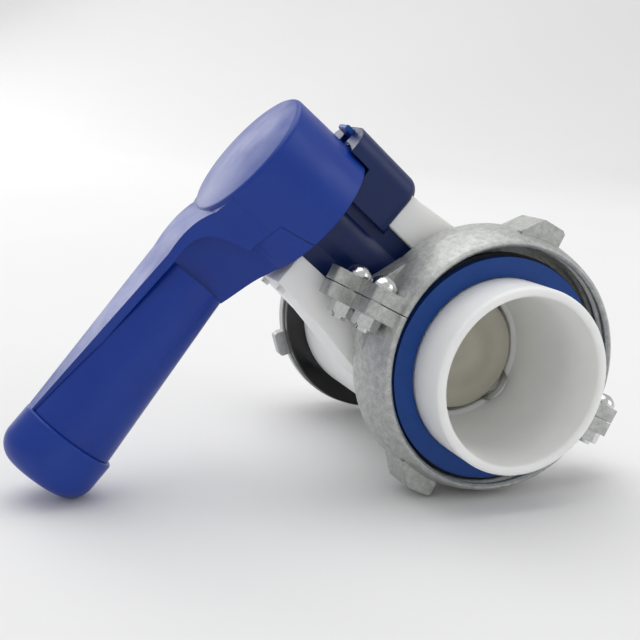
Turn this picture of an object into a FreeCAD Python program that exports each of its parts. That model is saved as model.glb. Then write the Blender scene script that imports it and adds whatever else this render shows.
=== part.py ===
import FreeCAD, Part
import math
import os

# Outlet valve of an intermediate bulk container. Millimetres.
# Frame: the origin is where the stem axis crosses the flow axis. +Y runs along the flow towards
# the tank, +Z up the stem, and +X along the lever in its closed position.

os.makedirs("parts", exist_ok=True)

# ---- driving dimensions -------------------------------------------------------------------
# flow passage
SPIGOT_R = 31.0            # plain spigot that enters the tank's mouth
SPIGOT_TIP_Y = 51.5
SPIGOT_TIP_WALL = 3.2
SPIGOT_TIP_ROUND = 1.4
GASKET_LAND_DEPTH = 0.7    # relief of the spigot under the gaskets
GASKET_LAND_SPARE = 0.5
SEAT_R = 22.8              # bore that the closing disc seals against
SEAT_HALF_LEN = 5.5
SEAT_LIP = 1.8             # step of the seat above the conical bore
OUTLET_BORE_R = 26.5
OUTLET_END_Y = -75.0

# body shell
FLANGE_R = 38.4
FLANGE_Y = 28.5            # face that carries the gaskets
FLANGE_T = 6.0
TUBE_R = 33.5
COLLAR_SEAT_STEP = 0.6
OUTLET_BORE_LEAD = 10.0    # parallel outlet bore ahead of the collar
COLLAR_Y = -60.0
OUTLET_THREAD_R = 30.0
OUTLET_THREAD_DEPTH = 1.6
OUTLET_THREAD_PITCH = 4.0

# gaskets
BACK_GASKET_T = 2.5
BACK_GASKET_PROUD = 0.3    # beyond the flange
TANK_GASKET_T = 3.0
TANK_GASKET_R = 37.7
GASKET_BORE_GAP = 0.15

# neck, cheeks and column
NECK_FRONT_Y = 12.0
NECK_BACK_Y = -11.0
NECK_FOOT_HALF = 30.3
NECK_FOOT_Z = 26.0
NECK_WAIST_HALF = 26.4
NECK_WAIST_Z = 51.0
NECK_TOP_HALF = 25.0
NECK_TOP_Z = 71.0
NECK_FLOOR_Z = 37.0
CHEEK_INNER_X = 13.5
COLUMN_WING_HALF_Y = 10.0
COLUMN_R = 12.2
COLUMN_TOP_Z = 82.0
COLUMN_BORE_GAP = 0.4

# stem and its bearings
STEM_R = 6.0
STEM_RUN_GAP = 0.05
GLAND_R = 9.0
GLAND_FOOT_Z = 26.0
FOOT_BUSH_R = 8.5
FOOT_BUSH_Z = -30.5
STEM_FOOT_Z = -29.5
STEM_SQUARE = 10.0
SQUARE_FOOT_Z = 85.0
SQUARE_ROOF_GAP = 1.5
ORING_WIRE_R = 1.1

# closing disc
DISC_GAP = 0.6             # disc to seat
DISC_HALF_T = 3.2
DISC_BOSS_R = 8.6
DISC_SEAL_GAP = 0.3
DISC_SEAL_HALF_T = 1.8
DISC_SEAL_DEPTH = 2.2

# lever handle
HUB_RIM_Z = 103.0
HUB_CROWN_H = 2.4          # rise of the domed top above its rim
HUB_FOOT_Z = 73.5
HUB_TOP_R = 23.8
HUB_DRAFT = 0.7            # added to the radius at the foot
HUB_EDGE_R = 1.6
HUB_WALL = 3.0
HUB_ROOF = 4.5
HUB_BOSS_R = 10.0
SPLIT_Z = 85.5             # mould split of the hub below the arm
SPLIT_TOP_HALF_Y = 20.7
SPLIT_FOOT_HALF_Y = 22.5
SPLIT_START_X = 9.0
SPINE_T = 3.0
SPINE_RISE_X = 41.0
SPINE_RISE_Z = 103.8
SPINE_HUMP = 0.5           # rise of the spine between the hub and the grip
SPINE_END_Z = 103.0
SPINE_FAIRING = 48.0       # degrees round the hub where the arm's side leaves it
SPINE_HUB_HALF = 11.6
SPINE_RISE_HALF = 10.0
SPINE_END_HALF = 3.0
ARCH_RISE = 15.4           # crown of the arched skirt above the split
ARCH_REACH = 12.8
WEB_FAIRING = 32.0
WEB_HALF = 7.0
GRIP_START_X = 41.5
GRIP_START_FOOT_Z = 77.7
GRIP_END_FOOT_Z = 72.0
GRIP_START_HALF_W = 10.5
GRIP_END_HALF_W = 12.0
GRIP_SINK = 0.3            # crest of the grip below the spine's top
BOOT_X = 104.5
BOOT_END_X = 121.8
BOOT_PROUD = 1.4
BOOT_END_ROUND = 8.0
BOOT_EDGE_ROUND = 0.8
BOOT_INSERT = 8.0
TENON_HALF_W = 8.0
TENON_FOOT_Z = 77.0
TENON_TOP_Z = 97.0

# handle lock
LOCK_WALL = 1.2
LOCK_INNER_X = -10.5
LOCK_BACK_Y = -13.2
LOCK_FRONT_Y = 13.2
LOCK_CORNER_R = 7.5
LOCK_FOOT_R = 5.0
LOCK_FOOT_Z = 52.0
LOCK_TOP_Z = 81.0
LOCK_HUB_GAP = 0.9
LOCK_BOLT_HALF_W = 3.0
LOCK_BOLT_FOOT_Z = 76.2
LOCK_BOLT_H = 3.0
LOCK_BOLT_LEN = 4.6
LOCK_TAB_T = 1.8
LOCK_TAB_PROUD = 3.4
LOCK_CLEARANCE = 0.3

# union nut
NUT_SHIFT_X = -1.3         # the loose nut hangs off centre by part of its clearance
NUT_SHIFT_Z = 0.4
NUT_TURN = 14.0            # degrees from +Z to the split ears, towards +X
NUT_BACK_Y = 13.8
NUT_FRONT_Y = 37.7
NUT_CREST_GAP = 1.6        # thread's crest outside the back gasket
NUT_WALL = 5.2             # from the thread's crest to the outside of the barrel
NUT_RIM_WALL = 2.1
NUT_FULL_LEN = 10.4        # barrel at full radius before it tapers to the rim
NUT_EDGE_LEN = 1.0
NUT_THREAD_DEPTH = 1.1
NUT_THREAD_PITCH = 4.0
NUT_SHOULDER_T = 4.7
NUT_TUBE_GAP = 2.1         # shoulder's bore outside the tube
NUT_SPLIT_GAP = 0.3
EAR_RISE = 17.0            # rear part of the ear above the barrel
EAR_STEP_RISE = 8.0        # front part
EAR_HALF_T = 5.0
EAR_ROUND = 2.0
EAR_BACK_Y = 14.2
EAR_STEP_Y = 22.5
EAR_FRONT_Y = 35.0
FAIRING_RISE = 4.5
FAIRING_SPREAD = 17.0
BOLT_R = 2.5
BOLT_HEAD_R = 4.5
BOLT_HEAD_H = 3.0
BOLT_HOLE_GAP = 0.2
REAR_BOLT_RISE = 8.0
REAR_BOLT_Y = 18.6
FRONT_BOLT_RISE = 3.8
FRONT_BOLT_Y = 29.5
NUT_AF = 8.0
HEX_H = 4.0
WASHER_T = 0.9
WASHER_R = 4.4
BOLT_TAIL = 1.2
LUG_RISE = 4.3
LUG_CENTRE_U = 4.0
LUG_HALF_W = 5.5
LUG_RAMP = 5.0
LUG_BACK_Y = 17.0
LUG_FRONT_Y = 31.0

# outlet ring, collar and blanking plate
COLLAR_WALL = 7.8
COLLAR_T = 4.0
RING_GAP = 0.3
RING_PROUD = 0.6           # ring beyond the collar
RING_BAND = 4.2            # broad front band of the ring
RING_BORE_GAP = 0.5
RING_HUB_WALL = 4.6
RING_LIP_R = 25.5
RING_LIP_T = 2.6
RING_LUGS = 4
RING_LUG_ANGLE = 32.0
RING_LUG_RISE = 3.6
RING_LUG_HALF_W = 5.0
RING_LUG_ROUND = 1.6
SEAL_T = 2.0
PLATE_T = 3.0
PLATE_GAP = 0.4
PLATE_R = 29.8
PLATE_BAR_HALF = 15.0
PLATE_BAR_H = 2.6
PLATE_BAR_HALF_T = 2.0

# bonnet pins
PIN_R = 1.4
PIN_Y = 8.0
PIN_Z = 67.0
PIN_PROUD = 1.6

# sizes that follow from others
DISC_R = SEAT_R - DISC_GAP
DISC_SEAL_R = SEAT_R - DISC_SEAL_GAP
HUB_FOOT_R = HUB_TOP_R + HUB_DRAFT
SQUARE_TOP_Z = HUB_RIM_Z - HUB_ROOF - SQUARE_ROOF_GAP
GASKETS_END_Y = FLANGE_Y + BACK_GASKET_T + TANK_GASKET_T
BACK_GASKET_R = FLANGE_R + BACK_GASKET_PROUD
NUT_CREST_R = BACK_GASKET_R + NUT_CREST_GAP
NUT_SHOULDER_R = TUBE_R + NUT_TUBE_GAP
NUT_R = NUT_CREST_R + NUT_WALL
NUT_RIM_R = NUT_CREST_R + NUT_RIM_WALL
COLLAR_SEAT_R = TUBE_R - COLLAR_SEAT_STEP
COLLAR_R = COLLAR_SEAT_R + COLLAR_WALL
RING_R = COLLAR_R + RING_PROUD
RING_BACK_Y = OUTLET_END_Y - SEAL_T - PLATE_T - PLATE_GAP - RING_LIP_T

V = FreeCAD.Vector
X_AXIS = V(1, 0, 0)
Y_AXIS = V(0, 1, 0)
Z_AXIS = V(0, 0, 1)
FAR = 200.0
TINY = 0.01


# ---- helpers ------------------------------------------------------------------------------
def cylinder(radius, start, end, axis):
    """Cylinder about a main axis through the origin, between two stations on that axis."""
    return Part.makeCylinder(radius, end - start, axis * start, axis)


def tube(outer, inner, start, end, axis):
    return cylinder(outer, start, end, axis).cut(cylinder(inner, start - 1, end + 1, axis))


def block(x0, x1, y0, y1, z0, z1):
    return Part.makeBox(x1 - x0, y1 - y0, z1 - z0, V(x0, y0, z0))


def face(points):
    return Part.Face(Part.makePolygon(points + [points[0]]))


def outline_face(corners):
    """Face inside a closed outline: an item is a corner, or (point on an arc, end of the arc)."""
    edges = []
    last = corners[-1][-1] if isinstance(corners[-1], tuple) else corners[-1]
    for item in corners:
        if isinstance(item, tuple):
            edges.append(Part.Arc(last, item[0], item[1]).toShape())
            last = item[1]
        elif last.distanceToPoint(item) > TINY:
            edges.append(Part.makeLine(last, item))
            last = item
    return Part.Face(Part.Wire(edges))


def turned(profile, axis):
    """Revolve an outline about Y or Z: (station, radius) corners, and four numbers for an arc."""
    def place(station, radius):
        return V(radius, station, 0) if axis == Y_AXIS else V(radius, 0, station)

    corners = [place(*item) if len(item) == 2 else (place(*item[:2]), place(*item[2:]))
               for item in profile]
    return outline_face(corners).revolve(V(0, 0, 0), axis, 360)


def spline(points, start=None, end=None):
    """Smooth curve through points, with its end directions where they matter."""
    curve = Part.BSplineCurve()
    if start is None:
        curve.interpolate(points)
    else:
        curve.interpolate(Points=points, InitialTangent=start, FinalTangent=end)
    return curve.toShape()


def prism_xz(points, y0, y1):
    """Extrude an outline in the X-Z plane between two stations on Y."""
    return face([V(x, y0, z) for x, z in points]).extrude(V(0, y1 - y0, 0))


def prism_yz(points, x0, x1):
    return face([V(x0, y, z) for y, z in points]).extrude(V(x1 - x0, 0, 0))


def prism_xy(points, z0, z1):
    return face([V(x, y, z0) for x, y in points]).extrude(V(0, 0, z1 - z0))


def rounded(shape, radius, keep):
    """Fillet the straight edges that keep() picks."""
    edges = [e for e in shape.Edges if keep(e)]
    return shape.makeFillet(radius, edges)


def along(edge, axis):
    """True for a straight edge parallel to axis."""
    if edge.Curve.TypeId != "Part::GeomLine":
        return False
    span = edge.Vertexes[-1].Point - edge.Vertexes[0].Point
    return abs(abs(span.dot(axis)) - span.Length) < TINY


def thread_teeth(start, end, pitch, root, crest):
    """Saw-tooth profile points from start to end, rising from root to crest once per pitch."""
    count = int(abs(end - start) // pitch)
    step = pitch if end > start else -pitch
    points = []
    for turn in range(count):
        base = start + turn * step
        points += [(base + 0.1 * step, root), (base + 0.3 * step, crest),
                   (base + 0.7 * step, crest), (base + 0.95 * step, root)]
    return points


def hexagon(across_flats, start, end):
    """Hexagonal prism along X between two stations, with a flat facing Y."""
    corner = across_flats / math.sqrt(3)
    points = [(corner * math.sin(math.radians(60 * k)), corner * math.cos(math.radians(60 * k)))
              for k in range(6)]
    return prism_yz([(y, z) for z, y in points], start, end)


def one_solid(shape):
    """Merge the faces that booleans split, where that leaves a sound solid."""
    refined = shape.removeSplitter()
    if refined.isValid():
        shape = refined
    return shape.Solids[0] if len(shape.Solids) == 1 else shape


def save(shape, name):
    one_solid(shape).exportStep("parts/%s.step" % name)


# ---- valve body ---------------------------------------------------------------------------
THREAD_START_Y = COLLAR_Y - COLLAR_T - 0.5


def body_outside():
    flange_back = FLANGE_Y - FLANGE_T
    root = OUTLET_THREAD_R - OUTLET_THREAD_DEPTH
    land_end = GASKETS_END_Y + GASKET_LAND_SPARE
    land_r = SPIGOT_R - GASKET_LAND_DEPTH
    profile = [(SPIGOT_TIP_Y, 0), (SPIGOT_TIP_Y, SPIGOT_R), (land_end, SPIGOT_R),
               (land_end, land_r), (FLANGE_Y, land_r),
               (FLANGE_Y, FLANGE_R - 0.6), (FLANGE_Y - 0.6, FLANGE_R),
               (flange_back, FLANGE_R), (flange_back - 2.0, TUBE_R + 0.6),
               (flange_back - 4.0, TUBE_R), (COLLAR_Y, TUBE_R), (COLLAR_Y, COLLAR_SEAT_R),
               (COLLAR_Y - COLLAR_T, COLLAR_SEAT_R), (COLLAR_Y - COLLAR_T, root)]
    profile += thread_teeth(THREAD_START_Y, OUTLET_END_Y, OUTLET_THREAD_PITCH, root,
                            OUTLET_THREAD_R)
    profile += [(OUTLET_END_Y, root), (OUTLET_END_Y, 0)]
    return turned(profile, Y_AXIS)


def flow_passage():
    """The bore: a cone from the spigot, the raised seat, and a cone to the outlet."""
    tip_r = SPIGOT_R - SPIGOT_TIP_WALL
    before_seat = SEAT_R + SEAT_LIP
    profile = [(SPIGOT_TIP_Y + 1, 0), (SPIGOT_TIP_Y + 1, tip_r), (SPIGOT_TIP_Y - 2, tip_r),
               (SEAT_HALF_LEN + 3.0, before_seat), (SEAT_HALF_LEN + 1.0, before_seat - 0.3),
               (SEAT_HALF_LEN, SEAT_R), (-SEAT_HALF_LEN, SEAT_R),
               (-SEAT_HALF_LEN - 1.0, before_seat - 0.3), (-SEAT_HALF_LEN - 3.0, before_seat),
               (COLLAR_Y + OUTLET_BORE_LEAD, OUTLET_BORE_R), (OUTLET_END_Y - 1, OUTLET_BORE_R),
               (OUTLET_END_Y - 1, 0)]
    return turned(profile, Y_AXIS)


def spigot_rounded(solid):
    """Round both edges of the spigot's tip."""
    edges = [e for e in solid.Edges if e.BoundBox.YMin > SPIGOT_TIP_Y - TINY]
    return solid.makeFillet(SPIGOT_TIP_ROUND, edges)


def neck():
    half = [(NECK_FOOT_HALF, 0), (NECK_FOOT_HALF, NECK_FOOT_Z), (NECK_WAIST_HALF, NECK_WAIST_Z),
            (NECK_TOP_HALF, NECK_TOP_Z)]
    outline = half + [(-x, z) for x, z in reversed(half)]
    solid = prism_xz(outline, NECK_BACK_Y, NECK_FRONT_Y)
    slot = block(-CHEEK_INNER_X, CHEEK_INNER_X, -FAR, FAR, NECK_FLOOR_Z, FAR)
    return solid.cut(slot)


def make_valve_body():
    passage = flow_passage()
    solid = spigot_rounded(body_outside().cut(passage))
    solid = solid.fuse(neck().cut(passage))
    solid = solid.cut(cylinder(GLAND_R, GLAND_FOOT_Z, FAR, Z_AXIS))
    solid = solid.cut(cylinder(STEM_R + COLUMN_BORE_GAP, 0, FAR, Z_AXIS))
    solid = solid.cut(cylinder(FOOT_BUSH_R, FOOT_BUSH_Z, 0, Z_AXIS))
    for side in (-1, 1):
        solid = solid.cut(bonnet_pin(side))
    return solid


# ---- bonnet column, its pins and the stem bearings ------------------------------------------
def bonnet_pin(side):
    """Cross pin along X, in front of or behind the stem; its head stands proud of the cheek."""
    length_from = -NECK_TOP_HALF + 1.0
    shank = Part.makeCylinder(PIN_R, NECK_TOP_HALF + PIN_PROUD - length_from,
                              V(length_from, side * PIN_Y, PIN_Z), X_AXIS)
    return shank


def make_column():
    wings = block(-CHEEK_INNER_X, CHEEK_INNER_X, -COLUMN_WING_HALF_Y, COLUMN_WING_HALF_Y,
                  NECK_FLOOR_Z, NECK_TOP_Z + 0.5)
    wings = rounded(wings, 1.0, lambda e: along(e, X_AXIS) and e.CenterOfMass.z > NECK_TOP_Z)
    core = cylinder(COLUMN_R, NECK_FLOOR_Z, COLUMN_TOP_Z, Z_AXIS)
    solid = wings.fuse(core)
    solid = solid.cut(cylinder(STEM_R + COLUMN_BORE_GAP, 0, FAR, Z_AXIS))
    for side in (-1, 1):
        solid = solid.cut(bonnet_pin(side))
    return solid


def make_gland_bush():
    return tube(GLAND_R, STEM_R + STEM_RUN_GAP, GLAND_FOOT_Z, NECK_FLOOR_Z, Z_AXIS)


def make_foot_bush():
    top = -(SEAT_R + 0.9)
    cup = cylinder(FOOT_BUSH_R, FOOT_BUSH_Z, top, Z_AXIS)
    return cup.cut(cylinder(STEM_R + STEM_RUN_GAP, STEM_FOOT_Z - 0.3, 0, Z_AXIS))


# ---- stem, disc and seals -----------------------------------------------------------------
ORING_Z = [GLAND_FOOT_Z + 3.0, GLAND_FOOT_Z + 7.5]
CLIP_T = 1.2
CLIP_Z = SQUARE_FOOT_Z - 0.2 - CLIP_T
CLIP_GROOVE_R = STEM_R - 1.2


def oring_centre_r():
    return STEM_R - 0.05 - ORING_WIRE_R


def make_stem():
    groove_r = oring_centre_r() - ORING_WIRE_R
    half = ORING_WIRE_R + 0.2
    profile = [(STEM_FOOT_Z, 0), (STEM_FOOT_Z, STEM_R - 1.0), (STEM_FOOT_Z + 1.0, STEM_R)]
    for z in ORING_Z:
        profile += [(z - half, STEM_R), (z - half, groove_r), (z + half, groove_r),
                    (z + half, STEM_R)]
    profile += [(CLIP_Z, STEM_R), (CLIP_Z, CLIP_GROOVE_R), (CLIP_Z + CLIP_T, CLIP_GROOVE_R),
                (CLIP_Z + CLIP_T, STEM_R), (SQUARE_FOOT_Z, STEM_R), (SQUARE_FOOT_Z, 0)]
    shaft = turned(profile, Z_AXIS)
    half_square = STEM_SQUARE / 2
    square = block(-half_square, half_square, -half_square, half_square,
                   SQUARE_FOOT_Z, SQUARE_TOP_Z)
    square = square.common(cylinder(STEM_R + 0.6, SQUARE_FOOT_Z, SQUARE_TOP_Z, Z_AXIS))
    solid = shaft.fuse(square)
    for z in DISC_SCREW_Z:
        solid = solid.cut(disc_screw(z))
    return solid


def oring(z):
    """O-ring turned from an octagonal section."""
    steps = [math.radians(45 * k + 22.5) for k in range(8)]
    return turned([(z + ORING_WIRE_R * math.sin(a), oring_centre_r() + ORING_WIRE_R * math.cos(a))
                   for a in steps], Z_AXIS)


def make_stem_orings():
    return Part.makeCompound([oring(z) for z in ORING_Z])


def make_retaining_clip():
    ring = tube(STEM_R + 2.8, CLIP_GROOVE_R, CLIP_Z, CLIP_Z + CLIP_T, Z_AXIS)
    mouth = CLIP_GROOVE_R - 0.8
    return ring.cut(block(-FAR, 0, -mouth, mouth, -FAR, FAR))


DISC_SCREW_Z = [-12.0, 12.0]
SCREW_R = 1.5
SCREW_HEAD_R = 3.0


def disc_screw(z):
    """Countersunk screw that holds the disc to the stem, driven from the outlet side."""
    start = -DISC_BOSS_R
    shank = Part.makeCylinder(SCREW_R, DISC_BOSS_R + STEM_R - 2.0, V(0, start, z), Y_AXIS)
    head = Part.makeCone(SCREW_HEAD_R, SCREW_R, SCREW_HEAD_R - SCREW_R, V(0, start, z), Y_AXIS)
    return shank.fuse(head)


def sphere(radius):
    return Part.makeSphere(radius)


def make_disc():
    plate = sphere(DISC_R).common(block(-FAR, FAR, -DISC_HALF_T, DISC_HALF_T, -FAR, FAR))
    dish = cylinder(DISC_R * 0.74, DISC_HALF_T - 1.2, FAR, Y_AXIS)
    plate = plate.cut(dish)
    boss = cylinder(DISC_BOSS_R, -FAR, FAR, Z_AXIS).common(sphere(DISC_R))
    boss = boss.common(block(-FAR, FAR, -FAR, DISC_HALF_T, -FAR, FAR))
    boss = boss.fuse(cylinder(STEM_R + 1.4, -FAR, FAR, Z_AXIS).common(sphere(DISC_R)))
    solid = plate.fuse(boss)
    solid = solid.cut(cylinder(STEM_R, -FAR, FAR, Z_AXIS))
    solid = solid.cut(seal_band(0))
    for z in DISC_SCREW_Z:
        solid = solid.cut(disc_screw(z))
    return solid


def seal_band(extra):
    """The seal's ring around the disc's edge, broken where the stem bosses pass."""
    ring = sphere(DISC_SEAL_R).common(
        block(-FAR, FAR, -DISC_SEAL_HALF_T, DISC_SEAL_HALF_T, -FAR, FAR))
    ring = ring.cut(cylinder(DISC_R - DISC_SEAL_DEPTH, -FAR, FAR, Y_AXIS))
    return ring.cut(cylinder(DISC_BOSS_R + extra, -FAR, FAR, Z_AXIS))


def make_disc_seal():
    return seal_band(0)


def make_disc_screws():
    return Part.makeCompound([disc_screw(z) for z in DISC_SCREW_Z])


# ---- lever handle -------------------------------------------------------------------------
def hub_radius(z):
    """Outer radius of the tapered hub at height z."""
    share = (HUB_RIM_Z - z) / (HUB_RIM_Z - HUB_FOOT_Z)
    return HUB_TOP_R + share * HUB_DRAFT


def spine_top(x):
    """Height of the spine's top over the grip, at distance x along the arm."""
    share = (x - SPINE_RISE_X) / (BOOT_X - SPINE_RISE_X)
    return SPINE_RISE_Z + share * (SPINE_END_Z - SPINE_RISE_Z)


def hub_solid():
    """Tapered drum with a domed top and a rounded rim."""
    crown = HUB_RIM_Z + HUB_CROWN_H
    half = HUB_TOP_R / 2
    bulge = crown - HUB_CROWN_H * 0.25
    outer = turned([(HUB_FOOT_Z, 0), (HUB_FOOT_Z, HUB_FOOT_R), (HUB_RIM_Z, HUB_TOP_R),
                    (bulge, half, crown, 0)], Z_AXIS)
    rim = [e for e in outer.Edges
           if not e.Degenerated and abs(e.BoundBox.ZMin - HUB_RIM_Z) < TINY
           and abs(e.BoundBox.ZMax - HUB_RIM_Z) < TINY]
    return outer.makeFillet(HUB_EDGE_R, rim)


def hub_cavity():
    roof = HUB_RIM_Z - HUB_ROOF
    return turned([(HUB_FOOT_Z - 1, 0), (HUB_FOOT_Z - 1, HUB_FOOT_R - HUB_WALL),
                   (HUB_FOOT_Z, HUB_FOOT_R - HUB_WALL), (roof, HUB_TOP_R - HUB_WALL), (roof, 0)],
                  Z_AXIS)


def split_prism():
    """Region of the hub wall that belongs to the lower moulding."""
    points = [(-SPLIT_TOP_HALF_Y, SPLIT_Z), (SPLIT_TOP_HALF_Y, SPLIT_Z),
              (SPLIT_FOOT_HALF_Y, HUB_FOOT_Z - 1), (-SPLIT_FOOT_HALF_Y, HUB_FOOT_Z - 1)]
    return prism_yz(points, SPLIT_START_X, FAR)


def arm_side():
    """Side view of the upper moulding's arm: humped top, straight run and arched skirt."""
    start = hub_radius(SPLIT_Z) - 0.2
    low = SPLIT_Z
    crown = low + ARCH_RISE
    run_x = SPINE_RISE_X + 5
    end_x = BOOT_X + 2
    arch = [(start, low), (start + 0.09 * ARCH_REACH, low + 0.3 * ARCH_RISE),
            (start + 0.28 * ARCH_REACH, low + 0.7 * ARCH_RISE),
            (start + 0.57 * ARCH_REACH, crown - 1.0), (start + ARCH_REACH, crown),
            (run_x, spine_top(run_x) - SPINE_T)]
    hump = [(SPINE_RISE_X, SPINE_RISE_Z), (HUB_TOP_R + 7, SPINE_RISE_Z + SPINE_HUMP),
            (HUB_TOP_R + 2, SPINE_RISE_Z - 0.3), (HUB_TOP_R - 2, HUB_RIM_Z - 0.9)]
    corners = [(end_x, spine_top(BOOT_X) - SPINE_T), (end_x, spine_top(BOOT_X))]
    lower = [V(x, 0, z) for x, z in arch]
    upper = [V(x, 0, z) for x, z in hump]
    middle = [V(x, 0, z) for x, z in corners]
    inside = [V(0, 0, HUB_RIM_Z - 0.9), V(0, 0, low)]
    edges = [spline(lower), Part.makeLine(lower[-1], middle[0]), Part.makeLine(middle[0], middle[1]),
             Part.makeLine(middle[1], upper[0]), spline(upper), Part.makeLine(upper[-1], inside[0]),
             Part.makeLine(inside[0], inside[1]), Part.makeLine(inside[1], lower[0])]
    return Part.Face(Part.Wire(edges))


def faired_plan(angle, hub_half, reach_half, end_half):
    """Plan of an arm that leaves the hub's wall along its tangent and narrows outwards."""
    turn = math.radians(angle)
    leave = V(HUB_FOOT_R * math.cos(turn), HUB_FOOT_R * math.sin(turn), 0)
    heading = V(math.sin(turn), -math.cos(turn), 0)
    upper = [leave, V(HUB_TOP_R + 4, hub_half, 0), V(SPINE_RISE_X, reach_half, 0)]
    lower = [V(p.x, -p.y, 0) for p in upper]
    far_x = BOOT_X + 2
    taper = V(1, -0.08, 0)
    corners = [upper[-1], V(far_x, end_half, 0), V(far_x, -end_half, 0), lower[-1]]
    edges = [spline(upper, heading, taper)]
    edges += [Part.makeLine(corners[k], corners[k + 1]) for k in range(3)]
    edges += [spline(lower, V(heading.x, -heading.y, 0), V(taper.x, -taper.y, 0)),
              Part.makeLine(lower[0], V(0, -leave.y, 0)),
              Part.makeLine(V(0, -leave.y, 0), V(0, leave.y, 0)),
              Part.makeLine(V(0, leave.y, 0), leave)]
    return Part.Face(Part.Wire(Part.__sortEdges__(edges))).extrude(V(0, 0, FAR))


def spine():
    side = arm_side().extrude(V(0, 2 * FAR, 0))
    side.translate(V(0, -FAR, 0))
    return side.common(faired_plan(SPINE_FAIRING, SPINE_HUB_HALF, SPINE_RISE_HALF, SPINE_END_HALF))


def oval(x, half_w, foot, top):
    """Closed oval section of the grip in the plane at x."""
    mid = (foot + top) / 2
    half_h = (top - foot) / 2
    ellipse = Part.Ellipse(V(x, 0, mid + half_h), V(x, half_w, mid), V(x, 0, mid))
    return Part.Wire(ellipse.toShape())


def tenon():
    """Tongue of the grip that the boot is pressed over."""
    return block(BOOT_X - 1, BOOT_X + BOOT_INSERT, -TENON_HALF_W, TENON_HALF_W,
                 TENON_FOOT_Z, TENON_TOP_Z)


def grip():
    start = oval(GRIP_START_X, GRIP_START_HALF_W, GRIP_START_FOOT_Z,
                 spine_top(GRIP_START_X) - GRIP_SINK)
    end = oval(BOOT_X, GRIP_END_HALF_W, GRIP_END_FOOT_Z, spine_top(BOOT_X) - GRIP_SINK)
    return Part.makeLoft([start, end], True, True)


def boot():
    """Oval end cap with a well rounded end and a small rounding at its mouth."""
    section = Part.Face(oval(BOOT_X, GRIP_END_HALF_W + BOOT_PROUD, GRIP_END_FOOT_Z - BOOT_PROUD,
                             SPINE_END_Z + BOOT_PROUD / 2))
    barrel = section.extrude(V(BOOT_END_X - BOOT_X, 0, 0))
    ends = [e for e in barrel.Edges if abs(e.BoundBox.XMin - BOOT_END_X) < TINY]
    barrel = barrel.makeFillet(BOOT_END_ROUND, ends)
    mouth = [e for e in barrel.Edges if abs(e.BoundBox.XMax - BOOT_X) < TINY]
    return barrel.makeFillet(BOOT_EDGE_ROUND, mouth)


def web():
    """Wall of the lower moulding between the collar and the grip."""
    into_hub = HUB_FOOT_R - HUB_WALL - 4
    into_grip = GRIP_START_X + 0.5
    under = SPINE_RISE_Z - SPINE_T + 0.6
    outline = [(into_hub, HUB_FOOT_Z), (HUB_FOOT_R, HUB_FOOT_Z + 0.6),
               (HUB_FOOT_R + 8.5, HUB_FOOT_Z + 3.2), (into_grip, GRIP_START_FOOT_Z + 1.6),
               (into_grip, under), (HUB_TOP_R + 8, under), (into_hub, SPLIT_Z + 10)]
    plan = faired_plan(WEB_FAIRING, WEB_HALF + 0.6, WEB_HALF, WEB_HALF)
    return prism_xz(outline, -FAR, FAR).common(plan)


def collar():
    inner = HUB_FOOT_R - HUB_WALL
    ring = turned([(HUB_FOOT_Z, inner), (HUB_FOOT_Z, HUB_FOOT_R),
                   (SPLIT_Z, hub_radius(SPLIT_Z)), (SPLIT_Z, inner)], Z_AXIS)
    return ring.common(split_prism())


def make_handle_core():
    """Lower moulding: the grip with its tongue, the web and the collar round the hub."""
    hub_rest = hub_solid().cut(split_prism())
    bridge = web().cut(hub_rest).cut(cylinder(HUB_FOOT_R - HUB_WALL, 0, FAR, Z_AXIS))
    return grip().cut(spine()).fuse(tenon()).fuse(bridge).fuse(collar())


def make_handle_shell():
    """Upper moulding: the hub with its square socket, the spine and the boot."""
    half_square = STEM_SQUARE / 2
    hub = hub_solid().cut(hub_cavity()).cut(split_prism())
    hub = hub.fuse(cylinder(HUB_BOSS_R, SPLIT_Z, HUB_RIM_Z - 1, Z_AXIS))
    hub = hub.cut(block(-half_square, half_square, -half_square, half_square, 0, SQUARE_TOP_Z))
    hub = hub.cut(lock_notch(V(-1, 0, 0))).cut(lock_notch(V(0, -1, 0)))
    arm = spine().cut(cylinder(HUB_TOP_R - HUB_WALL / 2, 0, FAR, Z_AXIS)).cut(web())
    return hub.fuse(arm).fuse(boot().cut(tenon()))


def lock_notch(side):
    """Slot open at the hub's foot that the lock bolt enters, on the side given."""
    half = LOCK_BOLT_HALF_W + LOCK_CLEARANCE
    slot = block(HUB_FOOT_R - HUB_WALL - 1, HUB_FOOT_R + 1, -half, half,
                 HUB_FOOT_Z - 1, LOCK_BOLT_FOOT_Z + LOCK_BOLT_H + LOCK_CLEARANCE)
    slot.rotate(V(0, 0, 0), Z_AXIS, math.degrees(math.atan2(side.y, side.x)))
    return slot


# ---- handle lock --------------------------------------------------------------------------
def lock_nose_x():
    """Tip of the lock bolt at rest, just clear of the hub."""
    return -(HUB_FOOT_R + LOCK_HUB_GAP) + 0.2


def lock_slot():
    """Space of the lock bolt at rest and over its travel towards the hub."""
    start = lock_nose_x() - LOCK_BOLT_LEN
    half = LOCK_BOLT_HALF_W + LOCK_CLEARANCE
    return block(start - LOCK_CLEARANCE, 0, -half, half, LOCK_BOLT_FOOT_Z - LOCK_CLEARANCE, FAR)


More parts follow.
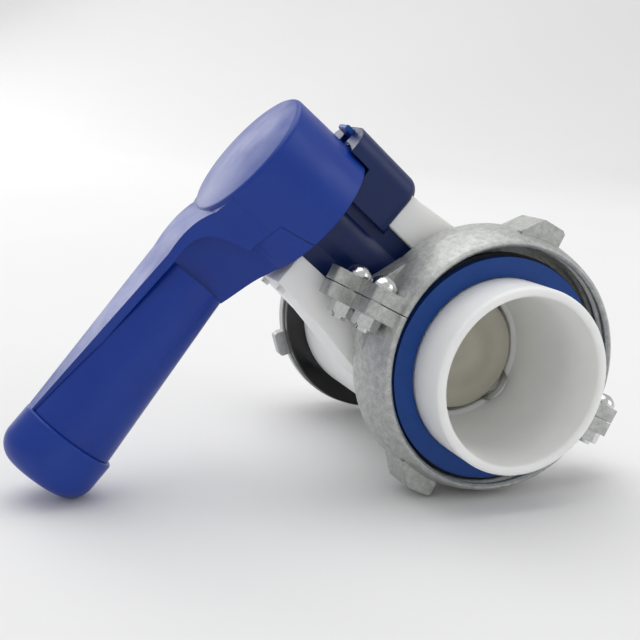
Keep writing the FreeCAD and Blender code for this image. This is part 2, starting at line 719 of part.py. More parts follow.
def make_lock_block(body):
    outer = lock_nose_x() - LOCK_BOLT_LEN - LOCK_CLEARANCE - LOCK_WALL
    solid = block(outer, LOCK_INNER_X, LOCK_BACK_Y, LOCK_FRONT_Y, LOCK_FOOT_Z, LOCK_TOP_Z)
    solid = rounded(solid, LOCK_CORNER_R,
                    lambda e: along(e, Z_AXIS) and e.CenterOfMass.x < outer + 1)
    foot = [e for e in solid.Edges if e.BoundBox.ZMax < LOCK_FOOT_Z + TINY
            and e.BoundBox.XMin < LOCK_INNER_X - 1]
    solid = solid.makeFillet(LOCK_FOOT_R, foot)
    hub_space = cylinder(HUB_FOOT_R + LOCK_HUB_GAP, NECK_TOP_Z + 1.2, FAR, Z_AXIS)
    solid = solid.cut(hub_space)
    column = block(-CHEEK_INNER_X, CHEEK_INNER_X, -COLUMN_WING_HALF_Y, COLUMN_WING_HALF_Y, 0, FAR)
    solid = solid.cut(column).cut(cylinder(COLUMN_R + 0.5, 0, FAR, Z_AXIS))
    solid = solid.cut(body)
    for side in (-1, 1):
        solid = solid.cut(bonnet_pin(side))
    return solid.cut(lock_slot())


def make_lock_slide():
    nose = lock_nose_x()
    tail = nose - LOCK_BOLT_LEN
    half = LOCK_BOLT_HALF_W
    top = LOCK_BOLT_FOOT_Z + LOCK_BOLT_H
    tab_top = LOCK_TOP_Z + LOCK_TAB_PROUD
    bolt = block(tail, nose, -half, half, LOCK_BOLT_FOOT_Z, top)
    bolt = rounded(bolt, 0.8, lambda e: along(e, Z_AXIS) and e.CenterOfMass.x > nose - TINY)
    tab = block(tail, tail + LOCK_TAB_T, -half, half, top, tab_top)
    tab = rounded(tab, 0.8, lambda e: along(e, Y_AXIS) and e.CenterOfMass.z > tab_top - TINY)
    return bolt.fuse(tab)


# ---- union nut ----------------------------------------------------------------------------
# Built about its own axis with u (towards the upper ears) along +Z and the split plane normal
# along X, then turned by NUT_TURN and set off centre.
def place_nut(shape):
    placed = shape.copy()
    placed.rotate(V(0, 0, 0), Y_AXIS, NUT_TURN)
    placed.translate(V(NUT_SHIFT_X, 0, NUT_SHIFT_Z))
    return placed


def nut_barrel():
    """Cast wall with rounded shoulder, tapered front and buttress thread ridges inside."""
    root = NUT_CREST_R + NUT_THREAD_DEPTH
    thread_back = NUT_BACK_Y + NUT_SHOULDER_T
    taper_y = NUT_BACK_Y + NUT_FULL_LEN
    edge_y = NUT_FRONT_Y - NUT_EDGE_LEN
    profile = [(NUT_BACK_Y, NUT_SHOULDER_R), (NUT_BACK_Y, NUT_R - 4.6),
               (NUT_BACK_Y + 1.3, NUT_R - 1.3, NUT_BACK_Y + 4.6, NUT_R), (taper_y, NUT_R),
               ((taper_y + edge_y) / 2, (NUT_R + NUT_RIM_R) / 2 + 0.4, edge_y, NUT_RIM_R),
               (NUT_FRONT_Y, NUT_RIM_R - NUT_EDGE_LEN), (NUT_FRONT_Y, root - 0.2),
               (NUT_FRONT_Y - 1.2, NUT_CREST_R)]
    profile += thread_teeth(NUT_FRONT_Y - 1.6, thread_back + 1.0, NUT_THREAD_PITCH,
                            NUT_CREST_R, root)
    profile += [(thread_back, NUT_CREST_R), (thread_back, NUT_SHOULDER_R)]
    return turned(profile, Y_AXIS)


def ear(sign):
    """Clamp flange across the split, at the +u or -u end: tall at the back, low in front."""
    base = NUT_CREST_R + NUT_THREAD_DEPTH
    reach = NUT_R + EAR_RISE
    low = block(-EAR_HALF_T, EAR_HALF_T, EAR_BACK_Y, EAR_FRONT_Y, base, NUT_R + EAR_STEP_RISE)
    low = rounded(low, EAR_ROUND,
                  lambda e: along(e, X_AXIS) and e.CenterOfMass.y > EAR_FRONT_Y - TINY
                  and e.CenterOfMass.z > NUT_R)
    tall = block(-EAR_HALF_T, EAR_HALF_T, EAR_BACK_Y, EAR_STEP_Y, base, reach)
    tall = rounded(tall, EAR_ROUND, lambda e: along(e, X_AXIS) and e.CenterOfMass.z > reach - TINY)
    solid = tall.fuse(low)
    if sign < 0:
        solid = solid.mirror(V(0, 0, 0), Z_AXIS)
    return solid


def ear_fairing(sign):
    """Wall thickened tangentially towards the ear."""
    foot_u = math.sqrt(NUT_R ** 2 - FAIRING_SPREAD ** 2) - 0.3
    top_u = NUT_R + FAIRING_RISE
    outline = [(-FAIRING_SPREAD, foot_u), (-EAR_HALF_T - 3.5, top_u - 2.6), (-EAR_HALF_T, top_u),
               (EAR_HALF_T, top_u), (EAR_HALF_T + 3.5, top_u - 2.6), (FAIRING_SPREAD, foot_u),
               (0, NUT_CREST_R)]
    return prism_xz([(x, sign * u) for x, u in outline], NUT_BACK_Y + 2.4, EAR_STEP_Y + 1)


def wrench_lug(side):
    """Spanner lug on each half: a ramp on one flank, a steep face on the other."""
    low = LUG_CENTRE_U - LUG_HALF_W
    high = LUG_CENTRE_U + LUG_HALF_W
    reach = NUT_R + LUG_RISE
    outline = [(NUT_CREST_R, low), (reach - 1.0, low), (reach, low + 1.2), (reach, high - 1.5),
               (reach - 1.5, high), (NUT_R - 3, high + LUG_RAMP), (NUT_CREST_R, high)]
    return prism_xz([(side * x, z) for x, z in outline], LUG_BACK_Y, LUG_FRONT_Y)


def bolt_places():
    return [((NUT_R + rise) * sign, y) for sign in (-1, 1)
            for rise, y in ((REAR_BOLT_RISE, REAR_BOLT_Y), (FRONT_BOLT_RISE, FRONT_BOLT_Y))]


def nut_casting():
    solid = nut_barrel()
    for sign in (-1, 1):
        solid = solid.fuse(ear(sign)).fuse(ear_fairing(sign)).fuse(wrench_lug(sign))
    clear = cylinder(NUT_CREST_R - 0.001, NUT_BACK_Y + NUT_SHOULDER_T, FAR, Y_AXIS)
    clear = clear.fuse(cylinder(NUT_SHOULDER_R, 0, FAR, Y_AXIS))
    solid = solid.cut(clear)
    for u, y in bolt_places():
        solid = solid.cut(Part.makeCylinder(BOLT_R + BOLT_HOLE_GAP, FAR, V(-FAR / 2, y, u), X_AXIS))
        for side in (-1, 1):
            seat = V(side * EAR_HALF_T, y, u)
            solid = solid.cut(Part.makeCylinder(BOLT_HEAD_R + 0.9, FAR, seat, V(side, 0, 0)))
    return solid


def nut_half(casting, side):
    gap = NUT_SPLIT_GAP / 2
    keep = block(gap, FAR, -FAR, FAR, -FAR, FAR) if side > 0 else block(-FAR, -gap, -FAR, FAR, -FAR, FAR)
    return place_nut(casting.common(keep))


def clamp_group(build):
    return place_nut(Part.makeCompound([build(u, y) for u, y in bolt_places()]))


def clamp_bolt(u, y):
    """Dome headed bolt along X: the head lies on the -X side of the ear."""
    head_base = -EAR_HALF_T - WASHER_T
    tail = EAR_HALF_T + HEX_H + BOLT_TAIL
    shank = Part.makeCylinder(BOLT_R, tail - head_base, V(head_base, y, u), X_AXIS)
    dome_r = (BOLT_HEAD_R ** 2 + BOLT_HEAD_H ** 2) / (2 * BOLT_HEAD_H)
    dome = Part.makeSphere(dome_r, V(head_base - BOLT_HEAD_H + dome_r, y, u))
    head = dome.common(Part.makeCylinder(BOLT_HEAD_R, BOLT_HEAD_H, V(head_base, y, u), V(-1, 0, 0)))
    socket = hexagon(3.0, head_base - BOLT_HEAD_H - 1, head_base - 1.0)
    socket.translate(V(0, y, u))
    return shank.fuse(head).cut(socket)


def clamp_washer(u, y):
    disc = Part.makeCylinder(WASHER_R, WASHER_T, V(-EAR_HALF_T - WASHER_T, y, u), X_AXIS)
    return disc.cut(Part.makeCylinder(BOLT_R, WASHER_T + 2, V(-EAR_HALF_T - WASHER_T - 1, y, u), X_AXIS))


def clamp_nut(u, y):
    nut = hexagon(NUT_AF, EAR_HALF_T, EAR_HALF_T + HEX_H)
    corner_r = NUT_AF / math.sqrt(3) + 0.05
    bevel = Part.makeCone(corner_r + 2.2, corner_r - 0.5, HEX_H, V(EAR_HALF_T, 0, 0), X_AXIS)
    nut = nut.common(bevel)
    nut.translate(V(0, y, u))
    return nut.cut(Part.makeCylinder(BOLT_R, HEX_H + 2, V(EAR_HALF_T - 1, y, u), X_AXIS))


# ---- gaskets and outlet -------------------------------------------------------------------
def make_back_gasket():
    return tube(BACK_GASKET_R, SPIGOT_R + GASKET_BORE_GAP, FLANGE_Y, FLANGE_Y + BACK_GASKET_T, Y_AXIS)


def make_tank_gasket():
    start = FLANGE_Y + BACK_GASKET_T
    return tube(TANK_GASKET_R, SPIGOT_R + GASKET_BORE_GAP, start, start + TANK_GASKET_T, Y_AXIS)


def make_outlet_collar():
    back = COLLAR_Y - COLLAR_T
    profile = [(COLLAR_Y, COLLAR_SEAT_R), (COLLAR_Y, COLLAR_R - 0.5), (COLLAR_Y - 0.5, COLLAR_R),
               (back, COLLAR_R), (back, COLLAR_SEAT_R)]
    return turned(profile, Y_AXIS)


def make_outlet_ring():
    """Cap ring: a broad lugged band next to the collar and a narrower threaded body behind."""
    front = COLLAR_Y - COLLAR_T - RING_GAP
    band_back = front - RING_BAND
    bore = OUTLET_THREAD_R + RING_BORE_GAP
    hub_r = bore + RING_HUB_WALL
    lip_front = RING_BACK_Y + RING_LIP_T
    profile = [(front, bore), (front, RING_R), (band_back + 0.8, RING_R),
               (band_back, RING_R - 0.8), (band_back - 1.6, hub_r + 1.0), (band_back - 3.0, hub_r),
               (RING_BACK_Y + 2.0, hub_r), (RING_BACK_Y + 0.6, hub_r - 0.6, RING_BACK_Y, hub_r - 2.0),
               (RING_BACK_Y, RING_LIP_R), (lip_front, RING_LIP_R), (lip_front, bore)]
    solid = turned(profile, Y_AXIS)
    for k in range(RING_LUGS):
        lug = block(RING_R - 2.0, RING_R + RING_LUG_RISE, band_back, front,
                    -RING_LUG_HALF_W, RING_LUG_HALF_W)
        lug = rounded(lug, RING_LUG_ROUND,
                      lambda e: along(e, Y_AXIS) and e.CenterOfMass.x > RING_R)
        lug.rotate(V(0, 0, 0), Y_AXIS, -(RING_LUG_ANGLE + k * 360.0 / RING_LUGS))
        solid = solid.fuse(lug)
    return solid


def make_outlet_seal():
    return tube(PLATE_R, OUTLET_BORE_R, OUTLET_END_Y - SEAL_T, OUTLET_END_Y, Y_AXIS)


def make_blank_plate():
    back = OUTLET_END_Y - SEAL_T - PLATE_T
    disc = cylinder(PLATE_R, back, OUTLET_END_Y - SEAL_T, Y_AXIS)
    grip_bar = block(-PLATE_BAR_HALF, PLATE_BAR_HALF, back - PLATE_BAR_H, back,
                     -PLATE_BAR_HALF_T, PLATE_BAR_HALF_T)
    return disc.fuse(grip_bar)


# ---- write every piece --------------------------------------------------------------------
body = make_valve_body()
casting = nut_casting()

save(body, "valve_body")
save(make_column(), "bonnet_column")
save(Part.makeCompound([bonnet_pin(side) for side in (-1, 1)]), "bonnet_pins")
save(make_gland_bush(), "gland_bush")
save(make_foot_bush(), "foot_bush")
save(make_stem(), "stem")
save(make_stem_orings(), "stem_orings")
save(make_retaining_clip(), "retaining_clip")
save(make_disc(), "closing_disc")
save(make_disc_seal(), "disc_seal")
save(make_disc_screws(), "disc_screws")
save(make_handle_core(), "handle_core")
save(make_handle_shell(), "handle_shell")
save(make_lock_block(body), "lock_block")
save(make_lock_slide(), "lock_slide")
save(nut_half(casting, -1), "nut_upper_half")
save(nut_half(casting, 1), "nut_lower_half")
save(clamp_group(clamp_bolt), "clamp_bolts")
save(clamp_group(clamp_washer), "clamp_washers")
save(clamp_group(clamp_nut), "clamp_nuts")
save(make_back_gasket(), "back_gasket")
save(make_tank_gasket(), "tank_gasket")
save(make_outlet_collar(), "outlet_collar")
save(make_outlet_ring(), "outlet_ring")
save(make_outlet_seal(), "outlet_seal")
save(make_blank_plate(), "blank_plate")
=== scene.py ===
# Dressed model of a lever-operated outlet valve for bulk liquid containers.
import math
import bmesh
import bpy
import numpy as np
from mathutils import Matrix, Vector


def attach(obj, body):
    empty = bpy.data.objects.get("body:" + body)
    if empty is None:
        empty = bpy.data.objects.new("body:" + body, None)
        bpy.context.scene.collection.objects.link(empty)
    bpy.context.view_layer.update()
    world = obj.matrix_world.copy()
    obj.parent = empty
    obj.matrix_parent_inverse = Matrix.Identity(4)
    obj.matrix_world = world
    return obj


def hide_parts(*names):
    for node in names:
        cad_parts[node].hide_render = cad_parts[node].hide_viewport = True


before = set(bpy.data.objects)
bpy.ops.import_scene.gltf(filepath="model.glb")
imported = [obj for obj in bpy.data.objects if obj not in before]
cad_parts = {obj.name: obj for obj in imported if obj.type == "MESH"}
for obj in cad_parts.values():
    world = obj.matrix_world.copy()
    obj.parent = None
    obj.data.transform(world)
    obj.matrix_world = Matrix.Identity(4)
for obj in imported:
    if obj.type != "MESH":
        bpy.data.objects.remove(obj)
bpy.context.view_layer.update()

# ---- valve body ---------------------------------------------------------------------------
# One white polyethylene blow: spigot, flange, tube and neck. It is moulded and then
# turned on the spigot, which leaves fine rings near its mouth, and is slightly see-through.


class Finish:
    """A node material being built: nodes are added one by one and joined by name."""

    def __init__(self, name):
        self.material = bpy.data.materials.new(name)
        self.material.use_nodes = True
        self.tree = self.material.node_tree
        self.shader = self.tree.nodes["Principled BSDF"]
        self.place = self.tree.nodes.new("ShaderNodeTexCoord").outputs["Object"]
        self.edge = None

    def soften(self, radius):
        """Normals turn over a small radius at sharp edges, as moulded and cast edges do."""
        node = self.tree.nodes.new("ShaderNodeBevel")
        node.samples = 6
        node.inputs["Radius"].default_value = radius
        self.edge = node.outputs["Normal"]

    def groove(self, along, place, half_width):
        """1 away from a fine line across the coordinate along at place, falling to 0 on it."""
        away = self.maths("ABSOLUTE", self.maths("SUBTRACT", along, place))
        return self.ramp(away, 0.0, half_width)

    def join(self, source, target):
        self.tree.links.new(source, target)

    def mapped(self, scale=(1, 1, 1), turn=(0, 0, 0), shift=(0, 0, 0)):
        """Object coordinates moved, turned and stretched for one pattern."""
        node = self.tree.nodes.new("ShaderNodeMapping")
        node.inputs["Location"].default_value = shift
        node.inputs["Rotation"].default_value = turn
        node.inputs["Scale"].default_value = scale
        self.join(self.place, node.inputs["Vector"])
        return node.outputs["Vector"]

    def noise(self, per_metre, detail=3.0, rough=0.55, where=None):
        """Cloudy pattern with that many cells in a metre, 0 to 1."""
        node = self.tree.nodes.new("ShaderNodeTexNoise")
        node.inputs["Scale"].default_value = per_metre
        node.inputs["Detail"].default_value = detail
        node.inputs["Roughness"].default_value = rough
        self.join(where or self.place, node.inputs["Vector"])
        return node.outputs["Fac"]

    def ramp(self, value, low, high, to_low=0.0, to_high=1.0):
        """value between low and high spread over to_low and to_high."""
        node = self.tree.nodes.new("ShaderNodeMapRange")
        for key, number in (("From Min", low), ("From Max", high), ("To Min", to_low), ("To Max", to_high)):
            node.inputs[key].default_value = number
        self.join(value, node.inputs["Value"])
        return node.outputs["Result"]

    def maths(self, what, first, second=0.0):
        """first what second, each a number or an output."""
        node = self.tree.nodes.new("ShaderNodeMath")
        node.operation = what
        for slot, value in zip(node.inputs, (first, second)):
            if isinstance(value, (int, float)):
                slot.default_value = value
            else:
                self.join(value, slot)
        return node.outputs["Value"]

    def blend(self, share, first, second):
        """Colour first where share is 0 and second where it is 1."""
        node = self.tree.nodes.new("ShaderNodeMix")
        node.data_type = "RGBA"
        self.join(share, node.inputs["Factor"])
        for slot, value in ((node.inputs[6], first), (node.inputs[7], second)):
            if isinstance(value, tuple):
                slot.default_value = (*value, 1.0)
            else:
                self.join(value, slot)
        return node.outputs[2]

    def bump(self, height, depth, below=None):
        """Normal from a height pattern of that depth in metres, over another normal."""
        node = self.tree.nodes.new("ShaderNodeBump")
        node.inputs["Strength"].default_value = 1.0
        node.inputs["Distance"].default_value = depth
        self.join(height, node.inputs["Height"])
        if below is None:
            below = self.edge
        if below is not None:
            self.join(below, node.inputs["Normal"])
        return node.outputs["Normal"]

    def parts(self):
        """x, y and z of the object coordinates, as three outputs."""
        node = self.tree.nodes.new("ShaderNodeSeparateXYZ")
        self.join(self.place, node.inputs["Vector"])
        return node.outputs["X"], node.outputs["Y"], node.outputs["Z"]

    def done(self, colour, roughness, normal=None, **sockets):
        """Joins colour, roughness and normal to the shader and sets its plain sockets."""
        self.join(colour, self.shader.inputs["Base Color"])
        if isinstance(roughness, (int, float)):
            self.shader.inputs["Roughness"].default_value = roughness
        else:
            self.join(roughness, self.shader.inputs["Roughness"])
        if normal is not None:
            self.join(normal, self.shader.inputs["Normal"])
        for key, value in sockets.items():
            self.shader.inputs[key.replace("_", " ")].default_value = value
        return self.material


def wear(node, material):
    """The CAD node shows that material in all its slots."""
    mesh_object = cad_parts[node]
    for slot in mesh_object.material_slots:
        slot.material = material


def polyethylene(name, milky, shade, glow):
    """White moulding: faint clouding, fine grain, light passing just under the skin."""
    f = Finish(name)
    f.soften(0.0005)
    cloud = f.ramp(f.noise(55, 4.0), 0.3, 0.7)
    colour = f.blend(cloud, milky, shade)
    grain = f.noise(2600, 2.0)
    rough = f.ramp(f.noise(400, 3.0), 0.3, 0.7, 0.34, 0.46)
    return f.done(colour, rough, f.bump(grain, 0.00003), Subsurface_Weight=glow,
                  Subsurface_Radius=(0.004, 0.004, 0.0036), Subsurface_Scale=1.0, IOR=1.5)


def turned_polyethylene():
    """Same plastic with fine lathe rings across the flow axis near the spigot's mouth."""
    f = Finish("body_polyethylene")
    f.soften(0.0007)
    x, y, z = f.parts()
    cloud = f.ramp(f.noise(55, 4.0), 0.3, 0.7)
    colour = f.blend(cloud, (0.92, 0.925, 0.915), (0.87, 0.875, 0.865))
    rings = f.maths("SINE", f.maths("MULTIPLY", y, 14000.0))
    near_mouth = f.ramp(y, 0.040, 0.049)
    height = f.maths("MULTIPLY", rings, near_mouth)
    grain = f.noise(2600, 2.0)
    rough = f.ramp(f.noise(400, 3.0), 0.3, 0.7, 0.34, 0.46)
    normal = f.bump(height, 0.00002, f.bump(grain, 0.00003))
    return f.done(colour, rough, normal, Subsurface_Weight=0.55,
                  Subsurface_Radius=(0.006, 0.0058, 0.005), Subsurface_Scale=1.0, IOR=1.5)


wear("valve_body", turned_polyethylene())

# ---- stem bushes --------------------------------------------------------------------------
# Two natural polyethylene sleeves pressed into the body above and below the passage. The stem
# turns in them.
bush_plastic = polyethylene("bush_polyethylene", (0.80, 0.80, 0.77), (0.74, 0.74, 0.71), 0.1)
wear("gland_bush", bush_plastic)
wear("foot_bush", bush_plastic)

# ---- stem, its O-rings and clip -----------------------------------------------------------
# Turned stainless bar with a milled square for the handle, two O-rings in grooves and a
# spring clip that keeps it in the column.


def steel(name, tone, dark, rough_low, rough_high, stretch=(1, 1, 1)):
    """Bare or plated steel with fine drawn marks along the stretched direction."""
    f = Finish(name)
    drawn = f.noise(900, 4.0, 0.6, f.mapped(stretch))
    colour = f.blend(f.ramp(drawn, 0.3, 0.7), tone, dark)
    rough = f.ramp(drawn, 0.3, 0.7, rough_low, rough_high)
    return f.done(colour, rough, f.bump(drawn, 0.00001), Metallic=1.0)


def rubber(name, tone, dust, rough=0.62, depth=0.00002):
    """Moulded elastomer: matte, very fine grain, a trace of dust."""
    f = Finish(name)
    colour = f.blend(f.ramp(f.noise(180, 5.0), 0.35, 0.75), tone, dust)
    grain = f.noise(3200, 3.0)
    return f.done(colour, f.ramp(grain, 0.2, 0.8, rough - 0.06, rough + 0.06),
                  f.bump(grain, depth), Specular_IOR_Level=0.4)


wear("stem", steel("stem_stainless", (0.62, 0.62, 0.61), (0.50, 0.50, 0.50), 0.22, 0.34, (1, 1, 30)))
wear("retaining_clip", steel("clip_spring_steel", (0.40, 0.40, 0.41), (0.30, 0.30, 0.31), 0.28, 0.4))
wear("stem_orings", rubber("oring_rubber", (0.012, 0.012, 0.013), (0.03, 0.03, 0.03)))

# ---- closing disc, its seal and screws -----------------------------------------------------
# Beige engineering plastic disc held to the stem by two countersunk screws. A black rubber
# band round its edge closes on the seat; its colour is painted light grey, a painted highlight ring.


DISC_RIM_R = 0.0222
DISC_FACE_Y = 0.0078


def turned_object(name, profile, axis="Y", count=128):
    """Closed surface of revolution: profile rows are (station, radius) from pole to pole, and
    point(a, k) = station_k on the axis + radius_k * (cos a, sin a) across it."""
    station, radius = np.array(profile[1:-1]).T
    angle = np.arange(count) * 2 * math.pi / count
    across = np.stack([radius[:, None] * np.cos(angle), radius[:, None] * np.sin(angle)])
    along = np.broadcast_to(station[:, None], across[0].shape)
    order = {"Y": (across[1], along, across[0]), "Z": (across[0], across[1], along)}[axis]
    rings = np.stack(order, axis=-1).reshape(-1, 3)
    poles = np.zeros((2, 3))
    poles[:, "XYZ".index(axis)] = profile[0][0], profile[-1][0]
    number = np.arange(len(station) * count).reshape(len(station), count)
    ahead = np.roll(number, -1, axis=1)
    quads = np.stack([number[:-1], ahead[:-1], ahead[1:], number[1:]], axis=-1).reshape(-1, 4)
    first, last = len(rings), len(rings) + 1
    start_fan = np.stack([np.full(count, first), ahead[0], number[0]], axis=-1)
    end_fan = np.stack([np.full(count, last), number[-1], ahead[-1]], axis=-1)
    mesh = bpy.data.meshes.new(name)
    mesh.from_pydata(np.vstack([rings, poles]).tolist(), [],
                     quads.tolist() + start_fan.tolist() + end_fan.tolist())
    mesh.polygons.foreach_set("use_smooth", np.full(len(mesh.polygons), True))
    made = bpy.data.objects.new(name, mesh)
    bpy.context.scene.collection.objects.link(made)
    return made


def disc_profile():
    """Half section of the disc: a face with a shallow ring, a rounded corner and a spherical
    edge, y = face - 0.0004 * bell((r - 0.016) / 0.003)."""
    rim = math.sqrt(DISC_RIM_R ** 2 - DISC_FACE_Y ** 2)
    r = np.linspace(0.0, rim - 0.0006, 26)
    y = DISC_FACE_Y - 0.0004 * np.exp(-((r - 0.016) / 0.003) ** 2) - 0.0003 * (r < 0.0001)
    edge = np.linspace(math.asin(DISC_FACE_Y / DISC_RIM_R) - 0.02, 0.0, 10)
    front = list(zip(y, r)) + list(zip(DISC_RIM_R * np.sin(edge), DISC_RIM_R * np.cos(edge)))
    return front + [(-a, b) for a, b in front[-2::-1]]


def disc_plastic():
    """Beige moulding, cloudy in tone and faintly lighter and darker in rings round its centre."""
    f = Finish("disc_polyamide")
    f.soften(0.0006)
    x, y, z = f.parts()
    radius = f.maths("SQRT", f.maths("ADD", f.maths("MULTIPLY", x, x), f.maths("MULTIPLY", z, z)))
    # Colour rings round the disc's centre, lighter and darker by turns.
    centre_rings = f.maths("SINE", f.maths("MULTIPLY", radius, 700.0))
    cloud = f.maths("ADD", f.maths("MULTIPLY", centre_rings, 0.12), f.noise(70, 4.0))
    colour = f.blend(f.ramp(cloud, 0.3, 0.75), (0.54, 0.52, 0.43), (0.46, 0.445, 0.37))
    grain = f.noise(1800, 3.0)
    return f.done(colour, 0.42, f.bump(grain, 0.00003), Specular_IOR_Level=0.45)


disc = turned_object("disc_skin", disc_profile()[::-1])
disc.data.materials.append(disc_plastic())
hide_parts("closing_disc")
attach(disc, "handle")
# Painted highlight: the black rubber seal gets a light grey-beige colour that stands for the bright ring of
# light round the disc's edge.
wear("disc_seal", rubber("disc_seal_rubber", (0.32, 0.30, 0.26), (0.36, 0.34, 0.30)))
plated = steel("zinc_plate", (0.74, 0.745, 0.74), (0.60, 0.61, 0.61), 0.14, 0.26)
wear("disc_screws", plated)

# ---- bonnet column and pins ----------------------------------------------------------------
# Blue polypropylene column that stands between the cheeks and carries the stem, held by
# two cross pins. Its blue is painted much darker than the handle's, as painted shade.


def polypropylene(name, tone, shade, edge=0.0006, parting=False):
    """Blue moulding: flow clouding, spark-eroded grain, rubbed patches that shine more, and
    on the grip the fine line where the halves of its mould met."""
    f = Finish(name)
    f.soften(edge)
    cloud = f.ramp(f.noise(42, 5.0), 0.3, 0.7)
    colour = f.blend(cloud, tone, shade)
    grain = f.noise(1500, 4.0, 0.6)
    rubbed = f.ramp(f.noise(90, 3.0), 0.35, 0.7, 0.30, 0.42)
    normal = f.bump(grain, 0.00004)
    if parting:
        x, y, z = f.parts()
        on_grip = f.maths("GREATER_THAN", x, 0.042)
        line = f.maths("MAXIMUM", f.groove(z, 0.0832, 0.00022), f.maths("SUBTRACT", 1.0, on_grip))
        normal = f.bump(line, 0.0001, normal)
    return f.done(colour, rubbed, normal, IOR=1.5, Specular_IOR_Level=0.36)


# Painted shade: the same blue plastic as the handle, with its colour darkened to stand for the shade it
# stands in.
column_blue_painted_shade = polypropylene("column_polypropylene", (0.003, 0.014, 0.085), (0.004, 0.018, 0.10))
wear("bonnet_column", column_blue_painted_shade)
wear("bonnet_pins", bush_plastic)

# ---- handle lock ---------------------------------------------------------------------------
# Blue housing beside the hub with a small thumb slide that locks the lever when shut.
# Painted shade: the lock housing wears the column's darkened blue, painted darker than the handle's for the
# shade it sits in.
wear("lock_block", column_blue_painted_shade)
wear("lock_slide", polypropylene("slide_polypropylene", (0.010, 0.085, 0.38), (0.014, 0.10, 0.43), 0.0004))

# ---- lever handle --------------------------------------------------------------------------
# Two blue mouldings: the grip with its web and collar below, the hub, spine and boot above.
wear("handle_core", polypropylene("grip_polypropylene", (0.002, 0.028, 0.255), (0.003, 0.036, 0.29),
                                  0.0008, True))
wear("handle_shell", polypropylene("hub_polypropylene", (0.002, 0.030, 0.265), (0.003, 0.038, 0.30),
                                   0.0007))

# ---- gaskets -------------------------------------------------------------------------------
# Flat rings on the flange: black nitrile behind, blue silicone in front, which the tank's
# nozzle presses on.
wear("back_gasket", rubber("gasket_nitrile", (0.008, 0.009, 0.011), (0.02, 0.02, 0.022)))
wear("tank_gasket", rubber("gasket_silicone", (0.003, 0.050, 0.26), (0.005, 0.060, 0.29), 0.55))

# ---- union nut -----------------------------------------------------------------------------
# Sand-blasted aluminium casting in two halves that clamp round the neck. The rim and the
# thread are machined bright.


def cast_aluminium(name, tone, dark, depth=0.00009):
    """Cast skin: grey mottling, blasted pits and duller hollows."""
    f = Finish(name)
    f.soften(0.0008)
    mottle = f.noise(420, 8.0, 0.7)
    pits = f.noise(1900, 5.0, 0.75)
    share = f.maths("ADD", f.maths("MULTIPLY", mottle, 0.6), f.maths("MULTIPLY", pits, 0.4))
    colour = f.blend(f.ramp(share, 0.38, 0.62), dark, tone)
    rough = f.ramp(pits, 0.3, 0.7, 0.40, 0.56)
    return f.done(colour, rough, f.bump(pits, depth), Metallic=0.85)


nut_casting = cast_aluminium("nut_casting", (0.62, 0.63, 0.61), (0.36, 0.37, 0.36))
wear("nut_upper_half", nut_casting)
wear("nut_lower_half", nut_casting)

# ---- clamp bolts, washers and nuts ---------------------------------------------------------
# Four zinc-plated dome headed screws with plain washers and hexagon nuts pull the halves
# together at the ears.
wear("clamp_bolts", plated)
wear("clamp_washers", plated)
wear("clamp_nuts", plated)

# ---- outlet collar, ring, seal and blanking plate ------------------------------------------
# Gloss black collar and a cast ring turn on the outlet. A cream seal and a plate close it
# for transport.


def gloss_black():
    """Black moulding with a high shine and hair scratches."""
    f = Finish("collar_gloss_black")
    f.soften(0.0006)
    smear = f.noise(120, 4.0)
    colour = f.blend(f.ramp(smear, 0.3, 0.7), (0.006, 0.006, 0.007), (0.012, 0.012, 0.013))
    return f.done(colour, f.ramp(smear, 0.3, 0.7, 0.08, 0.16), f.bump(f.noise(900, 2.0), 0.000008))


wear("outlet_collar", gloss_black())
wear("outlet_ring", cast_aluminium("ring_casting", (0.60, 0.60, 0.60), (0.46, 0.46, 0.46), 0.00004))
wear("outlet_seal", polyethylene("seal_foam", (0.72, 0.66, 0.50), (0.66, 0.60, 0.45), 0.05))
wear("blank_plate", bush_plastic)

# ---- floor, light and camera ---------------------------------------------------------------
# The valve lies on its side on a pale sweep: on the boot, the union nut and the outlet ring.
UP = Vector((-0.764, 0.004, 0.646)).normalized()
FLOOR_LEVEL = -0.04416
VIEW_ROWS = ((-0.6381, 0.3621, -0.6795), (0.7662, 0.2117, -0.6068), (-0.0759, -0.9078, -0.4125))
VIEW_SHIFT = Vector((0.04642, 0.00926, 0.36966))
VIEW_FOCAL = 1022.63 / 640
VIEW_TALL = 1.06


def level_frame():
    """Across, along and up directions of the floor, along pointing away from the viewer."""
    forward = Vector(VIEW_ROWS[2])
    along = (forward - forward.dot(UP) * UP).normalized()
    return along.cross(UP).normalized(), along, UP


ACROSS, ALONG, _ = level_frame()
MIDDLE = Vector((0.03, 0.0, 0.02))
FOOT = MIDDLE - (MIDDLE.dot(UP) - FLOOR_LEVEL) * UP


def sweep_surface(width, front, back, rise, bend, across_count=3, along_count=60):
    """Flat strip that turns up behind in a quarter circle of radius bend: s runs along it,
    t across it."""
    flat = front + back
    arc = bend * math.pi / 2
    s = np.linspace(0, flat + arc + rise, along_count)
    t = np.linspace(-width / 2, width / 2, across_count)
    turn = np.clip((s - flat) / bend, 0, math.pi / 2)
    distance = np.minimum(s, flat) - front + bend * np.sin(turn)
    height = bend * (1 - np.cos(turn)) + np.maximum(s - flat - arc, 0)
    base = np.array(FOOT)
    points = (base + distance[:, None, None] * np.array(ALONG) + height[:, None, None] * np.array(UP)
              + t[None, :, None] * np.array(ACROSS))
    return points


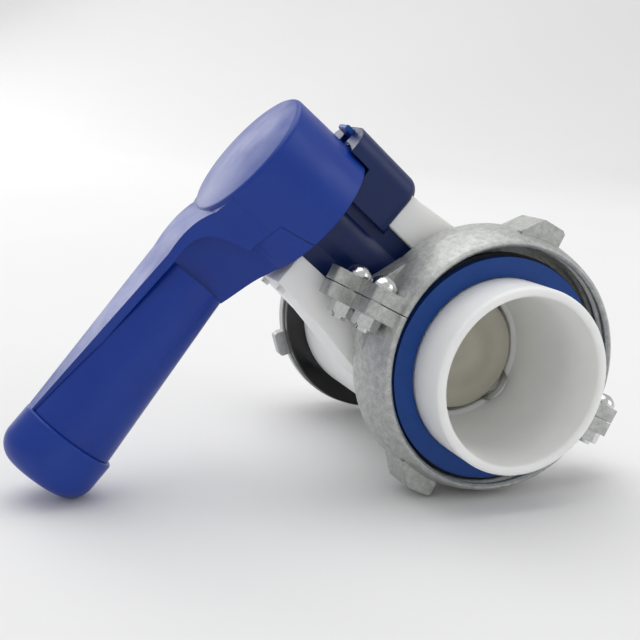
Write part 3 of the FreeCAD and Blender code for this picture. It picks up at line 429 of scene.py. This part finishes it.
def grid_object(name, points, closed_u=False, closed_v=False, smooth=True):
    """Mesh object from an array of points[u, v, xyz], its quads joined in rows."""
    rows, cols = points.shape[:2]
    number = np.arange(rows * cols).reshape(rows, cols)
    if closed_u:
        number = np.vstack([number, number[:1]])
    if closed_v:
        number = np.hstack([number, number[:, :1]])
    quads = np.stack([number[:-1, :-1], number[1:, :-1], number[1:, 1:], number[:-1, 1:]], axis=-1)
    mesh = bpy.data.meshes.new(name)
    mesh.from_pydata(points.reshape(-1, 3).tolist(), [], quads.reshape(-1, 4).tolist())
    mesh.polygons.foreach_set("use_smooth", np.full(len(mesh.polygons), smooth))
    made = bpy.data.objects.new(name, mesh)
    bpy.context.scene.collection.objects.link(made)
    return made


floor = grid_object("floor_sweep", sweep_surface(6.0, 1.2, 1.6, 2.0, 0.8))
paper = Finish("floor_paper")
paper_tone = paper.blend(paper.ramp(paper.noise(3, 2.0), 0.3, 0.7), (0.80, 0.80, 0.80), (0.815, 0.815, 0.815))
floor.data.materials.append(paper.done(paper_tone, 0.9, Specular_IOR_Level=0.1))


def soft_light(name, toward, distance, size, glow, spread=1.0):
    """Square lamp of that radiance, hung in that direction from the valve and facing it."""
    data = bpy.data.lights.new(name, "AREA")
    data.shape = "SQUARE"
    data.size = size
    data.energy = glow * math.pi * size ** 2
    data.diffuse_factor = spread
    made = bpy.data.objects.new(name, data)
    direction = Vector(toward).normalized()
    made.location = MIDDLE + distance * direction
    made.rotation_euler = direction.to_track_quat("Z", "Y").to_euler()
    bpy.context.scene.collection.objects.link(made)
    return made


soft_light("top_lamp", UP + 0.20 * ALONG - 0.10 * ACROSS, 2.4, 2.6, 1.55)
soft_light("back_lamp", Vector((-0.076, -0.908, 0.43)), 2.2, 1.1, 2.2, 0.25)
soft_light("side_lamp", ACROSS + 0.45 * UP - 0.1 * ALONG, 1.9, 0.9, 1.4)

world = bpy.data.worlds.new("studio")
bpy.context.scene.world = world
world.use_nodes = True
sky = world.node_tree.nodes["Background"]
sky.inputs["Color"].default_value = (1.0, 1.0, 1.0, 1.0)
sky.inputs["Strength"].default_value = 0.61

lens = bpy.data.cameras.new("view")
lens.sensor_fit = "HORIZONTAL"
lens.sensor_width = 36.0
lens.lens = 36.0 * VIEW_FOCAL
lens.clip_start = 0.01
camera = bpy.data.objects.new("view", lens)
bpy.context.scene.collection.objects.link(camera)
right, down, ahead = (Vector(row) for row in VIEW_ROWS)
turn = Matrix((right, -down, -ahead)).transposed()
spot = -(right * VIEW_SHIFT.x + down * VIEW_SHIFT.y + ahead * VIEW_SHIFT.z)
camera.matrix_world = Matrix.Translation(spot) @ turn.to_4x4()
bpy.context.scene.camera = camera
bpy.context.scene.render.pixel_aspect_x = VIEW_TALL
bpy.context.scene.view_settings.view_transform = "Standard"
